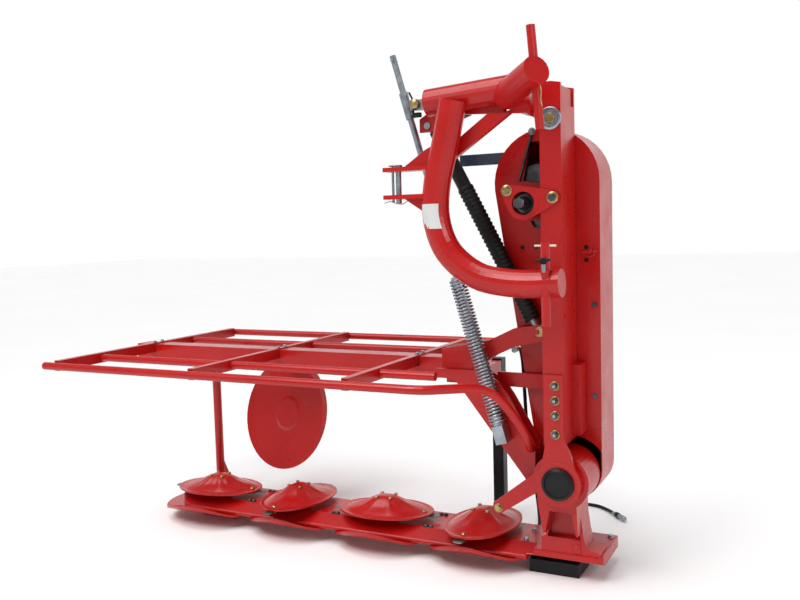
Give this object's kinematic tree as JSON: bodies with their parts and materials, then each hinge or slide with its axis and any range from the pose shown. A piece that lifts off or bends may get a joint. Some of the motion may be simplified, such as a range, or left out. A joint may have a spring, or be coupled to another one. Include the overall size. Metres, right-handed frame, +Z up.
{
  "type": "disc mower",
  "caption": "Rear-mounted side disc mower with a folding drive arm over a low cutter bar, swath guard frame, lift cylinder and relief spring.",
  "frame": {"origin": "on the floor, at the underside of the packing block, straight below the axis on which the drive arm folds", "axes": "+X along the cutter bar towards the gearbox, +Z up, -Y towards the tractor's side of the mower"},
  "size_m": [2.21, 1.2041, 1.8088],
  "materials": {
    "red_paint": "gloss enamel",
    "black_paint": "satin",
    "rubber": "matt",
    "dark_steel": "oiled",
    "zinc": "bright zinc plate",
    "navy_paint": "satin"
  },
  "bodies": {
    "cutter_bar": {"packing_block": "black_paint", "outer_shoe": "red_paint", "skid_1": "red_paint", "skid_2": "red_paint", "skid_3": "red_paint", "skid_4": "red_paint", "bar_housing": "red_paint", "gearbox": "red_paint", "gusset_frame": "red_paint", "lever_frame": "red_paint", "side_lug": "red_paint", "guard_beam": "red_paint", "cross_bar_1": "red_paint", "cross_bar_2": "red_paint", "cross_bar_3": "red_paint", "rail_front_inner": "red_paint", "rail_rear_inner": "red_paint", "rail_rear_outer": "red_paint", "rail_front_outer": "red_paint", "guard_post": "red_paint", "swath_hanger": "red_paint", "leg_bracket": "red_paint", "hose_fitting": "zinc", "hydraulic_hose": "rubber", "hose_coupler": "zinc"},
    "drive_arm": {"arm_mast": "red_paint", "arm_eye_plate": "red_paint", "hinge_cap": "black_paint", "pivot_pin": "zinc", "belt_guard_tray": "red_paint", "belt_guard_plate": "red_paint", "bearing_carrier": "red_paint", "guard_stay": "navy_paint"},
    "hitch": {"hitch_c_tube": "red_paint", "hitch_cross_tube": "red_paint", "hitch_front_tube": "red_paint", "link_pin_upper": "red_paint", "link_pin_lower": "red_paint", "hitch_brace": "red_paint", "pivot_lug": "red_paint", "top_link_pin": "zinc", "cylinder_anchor": "red_paint"},
    "lift_barrel": {"cylinder_barrel": "black_paint", "cylinder_bellows": "rubber"},
    "lift_rod": {"cylinder_rod": "zinc"},
    "spring_sleeve": {"spring_sleeve": "zinc"},
    "spring_rod": {"spring_rod": "zinc", "relief_spring": "zinc"},
    "spring_clevis": {"spring_clevis": "zinc"},
    "cutting_disc_1": {"cutting_disc_1": "red_paint"},
    "cutting_disc_2": {"cutting_disc_2": "red_paint"},
    "cutting_disc_3": {"cutting_disc_3": "red_paint"},
    "cutting_disc_4": {"cutting_disc_4": "red_paint"},
    "input_shaft": {"input_shaft": "dark_steel"},
    "lower_pulley": {"lower_pulley": "dark_steel"},
    "swath_disc": {"swath_disc": "red_paint"},
    "parking_leg": {"parking_leg": "black_paint"}
  },
  "joints": [
    {"name": "arm_fold", "type": "hinge", "parent": "cutter_bar", "child": "drive_arm", "pos_m": [0, -0.115, 0.355], "axis": [0, 1, 0], "range_deg": [0, 105]},
    {"name": "hitch_pivot", "type": "hinge", "parent": "drive_arm", "child": "hitch", "pos_m": [-0.013, -0.12, 1.538], "axis": [0, 1, 0], "range_deg": [0, 12]},
    {"name": "lift_barrel_pivot", "type": "hinge", "parent": "hitch", "child": "lift_barrel", "pos_m": [-0.475, -0.08, 1.556], "axis": [0, 1, 0], "range_deg": [-3, 36]},
    {"name": "lift_rod_slide", "type": "slide", "parent": "lift_barrel", "child": "lift_rod", "axis": [0.464, 0, -0.8859], "range_m": [0, 0.58]},
    {"name": "spring_sleeve_pivot", "type": "hinge", "parent": "hitch", "child": "spring_sleeve", "pos_m": [-0.545, -0.15, 1.628], "axis": [0, 1, 0], "range_deg": [-3, 8]},
    {"name": "spring_rod_slide", "type": "slide", "parent": "spring_sleeve", "child": "spring_rod", "axis": [0.2771, 0, -0.9609], "range_m": [0, 0.11]},
    {"name": "spring_stretch", "type": "slide", "parent": "spring_rod", "child": "spring_clevis", "axis": [0.2771, 0, -0.9609], "range_m": [0, 0.32], "deforming": ["relief_spring"]},
    {"name": "disc_1_spin", "type": "hinge", "parent": "cutter_bar", "child": "cutting_disc_1", "pos_m": [-1.535, -0.035, 0.12], "axis": [0, 0, 1], "continuous": true},
    {"name": "disc_2_spin", "type": "hinge", "parent": "cutter_bar", "child": "cutting_disc_2", "pos_m": [-1.135, -0.035, 0.12], "axis": [0, 0, 1], "continuous": true},
    {"name": "disc_3_spin", "type": "hinge", "parent": "cutter_bar", "child": "cutting_disc_3", "pos_m": [-0.735, -0.035, 0.12], "axis": [0, 0, 1], "continuous": true},
    {"name": "disc_4_spin", "type": "hinge", "parent": "cutter_bar", "child": "cutting_disc_4", "pos_m": [-0.335, -0.035, 0.12], "axis": [0, 0, 1], "continuous": true},
    {"name": "input_shaft_spin", "type": "hinge", "parent": "drive_arm", "child": "input_shaft", "pos_m": [-0.105, 0, 1.273], "axis": [0, 1, 0], "continuous": true},
    {"name": "lower_pulley_spin", "type": "hinge", "parent": "drive_arm", "child": "lower_pulley", "pos_m": [0, 0.05, 0.355], "axis": [0, 1, 0], "continuous": true},
    {"name": "swath_disc_spin", "type": "hinge", "parent": "cutter_bar", "child": "swath_disc", "pos_m": [-1.375, 0.262, 0.394], "axis": [-0.1851, -0.9525, 0.2419], "continuous": true},
    {"name": "leg_fold", "type": "hinge", "parent": "cutter_bar", "child": "parking_leg", "pos_m": [-0.428, 0.4, 0.636], "axis": [0, 1, 0], "range_deg": [0, 90]}
  ],
  "couplings": [
    {"joint": "lift_barrel_pivot", "follows": "arm_fold", "ratio": 0.312},
    {"joint": "lift_rod_slide", "follows": "arm_fold", "m_per_rad": 0.3137},
    {"joint": "spring_sleeve_pivot", "follows": "arm_fold", "ratio": 0.03},
    {"joint": "spring_rod_slide", "follows": "arm_fold", "m_per_rad": 0.058},
    {"joint": "spring_stretch", "follows": "arm_fold", "m_per_rad": 0.1698},
    {"joint": "disc_2_spin", "follows": "disc_1_spin", "ratio": -1},
    {"joint": "disc_3_spin", "follows": "disc_1_spin", "ratio": 1},
    {"joint": "disc_4_spin", "follows": "disc_1_spin", "ratio": -1},
    {"joint": "input_shaft_spin", "follows": "disc_1_spin", "ratio": 0.18},
    {"joint": "lower_pulley_spin", "follows": "disc_1_spin", "ratio": 0.24}
  ]
}
